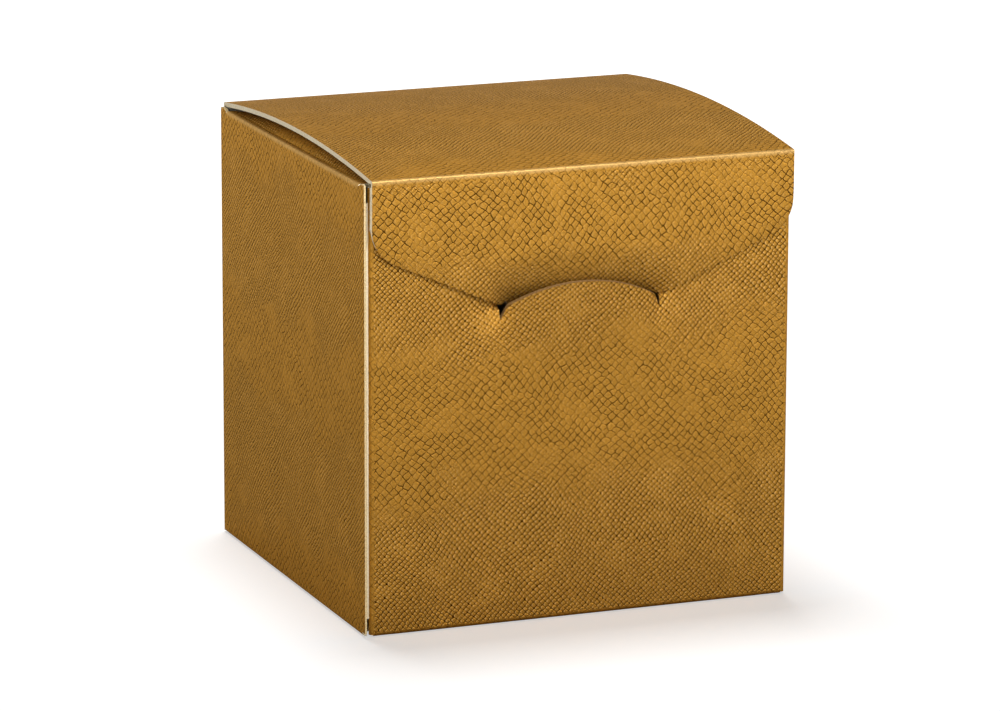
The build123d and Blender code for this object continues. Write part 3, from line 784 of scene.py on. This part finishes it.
def white_floor():
    """A floor that shows the box's shadow near it and is pure white farther off. Its glow is dimmed near the
    box, to the camera and in reflections, as painted shade.
    """
    mesh = bpy.data.meshes.new("floor")
    corners = [(x * FLOOR_HALF, y * FLOOR_HALF, 0) for x, y in ((-1, -1), (1, -1), (1, 1), (-1, 1))]
    mesh.from_pydata(corners, [], [(0, 1, 2, 3)])
    floor = bpy.data.objects.new("floor", mesh)
    floor.location.z = -FLOOR_DROP
    scene.collection.objects.link(floor)
    m = Nodes("floor_paint")
    rays = m.tree.nodes.new("ShaderNodeLightPath").outputs
    distance = m.add("VectorMath", {0: m.add("TexCoord", out="Object")}, "Value", operation="LENGTH")
    # painted shade: the glow seen by the camera is weaker near the box
    seen = m.math("MULTIPLY", rays["Is Camera Ray"], m.ramp(distance, GLOW_FROM, GLOW_TO, GLOW_NEAR, 1.0))
    mirrored = m.math("MAXIMUM", rays["Is Glossy Ray"], rays["Is Transmission Ray"])
    # painted shade in reflections: the floor's glow in glossy rays fades to nothing near the box
    glow = m.math("ADD", seen, m.math("MULTIPLY", mirrored, m.ramp(distance, GLOW_FROM, GLOW_TO)))
    m.set(Base_Color=FLOOR_PAINT, Roughness=FLOOR_ROUGH, Specular_IOR_Level=0.0,
          Emission_Color=WHITE, Emission_Strength=glow)
    mesh.materials.append(m.material)
    return floor


def white_room():
    """The world: white to the camera, a little darker in reflections, and a weak fill light."""
    world = bpy.data.worlds.new("studio")
    scene.world = world
    world.use_nodes = True
    tree = world.node_tree
    background = tree.nodes["Background"]
    background.inputs["Color"].default_value = WHITE
    strength = tree.nodes.new("ShaderNodeValue").outputs[0]
    strength.default_value = FILL
    rays = tree.nodes.new("ShaderNodeLightPath").outputs
    levels = {"Is Camera Ray": 1.0, "Is Glossy Ray": MIRRORED, "Is Transmission Ray": MIRRORED}
    for ray, level in levels.items():
        shown, either = tree.nodes.new("ShaderNodeMath"), tree.nodes.new("ShaderNodeMath")
        shown.operation, either.operation = "MULTIPLY", "MAXIMUM"
        tree.links.new(rays[ray], shown.inputs[0])
        shown.inputs[1].default_value = level
        tree.links.new(strength, either.inputs[0])
        tree.links.new(shown.outputs[0], either.inputs[1])
        strength = either.outputs[0]
    tree.links.new(strength, background.inputs["Strength"])


def softbox(name, place, aim, size, power):
    lamp = bpy.data.lights.new(name, "AREA")
    lamp.shape, lamp.size, lamp.energy = "SQUARE", size, power
    lamp_object = bpy.data.objects.new(name, lamp)
    lamp_object.location = place
    lamp_object.rotation_euler = (Vector(place) - Vector(aim)).to_track_quat("Z", "Y").to_euler()
    lamp_object.visible_camera = False
    scene.collection.objects.link(lamp_object)
    return lamp_object


def lights(floor):
    """Six softboxes that light the box alone, and one that lights the floor alone."""
    off_floor = bpy.data.collections.new("off_floor")
    off_floor.objects.link(floor)
    off_floor.collection_objects[0].light_linking.link_state = "EXCLUDE"
    aim = (0, -0.03, 0.05)
    for name, place, size, power in (
        ("key_box", (0.30, -0.36, 0.19), 0.10, 0.77),
        ("near_box", (0.0, -0.10, 0.13), 0.06, 0.112),
        ("low_box", (-0.18, -0.30, 0.08), 0.12, 0.11),
        ("left_box", (-0.28, -0.06, 0.20), 0.20, 0.285),
        ("left_back_box", (-0.25, 0.15, 0.25), 0.20, 0.08),
        ("back_box", (-0.15, 0.30, 0.50), 0.40, 0.10),
    ):
        softbox(name, place, aim, size, power).light_linking.receiver_collection = off_floor
    floor_only = bpy.data.collections.new("floor_only")
    floor_only.objects.link(floor)
    floor_box = softbox("floor_box", (0.0, 0.10, 0.60), (0, 0, 0), 0.16, 2.1)
    floor_box.light_linking.receiver_collection = floor_only


AZIMUTH, ELEVATION, ROLL = radians(-21.5296), radians(13.5043), radians(0.1628)
FOCUS_PX, IMAGE_PX, SENSOR = 5678.55, 1000, 36.0
SIDE_STEP, RISE_STEP, DISTANCE = 0.1921, 28.1179, 776.35


def photo_camera():
    """The photo's camera, which looks along -back."""
    back = Vector((sin(AZIMUTH) * cos(ELEVATION), -cos(AZIMUTH) * cos(ELEVATION), sin(ELEVATION)))
    level = Vector((cos(AZIMUTH), sin(AZIMUTH), 0))
    above = back.cross(level)
    right = cos(ROLL) * level + sin(ROLL) * above
    up = cos(ROLL) * above - sin(ROLL) * level
    lens = bpy.data.cameras.new("camera")
    lens.sensor_width, lens.lens = SENSOR, FOCUS_PX / IMAGE_PX * SENSOR
    camera = bpy.data.objects.new("camera", lens)
    turn = Matrix((right, up, back)).transposed().to_4x4()
    place = right * SIDE_STEP + up * RISE_STEP + back * DISTANCE
    camera.matrix_world = Matrix.Translation(place * MM) @ turn
    scene.collection.objects.link(camera)
    scene.camera = camera


lights(white_floor())
white_room()
photo_camera()
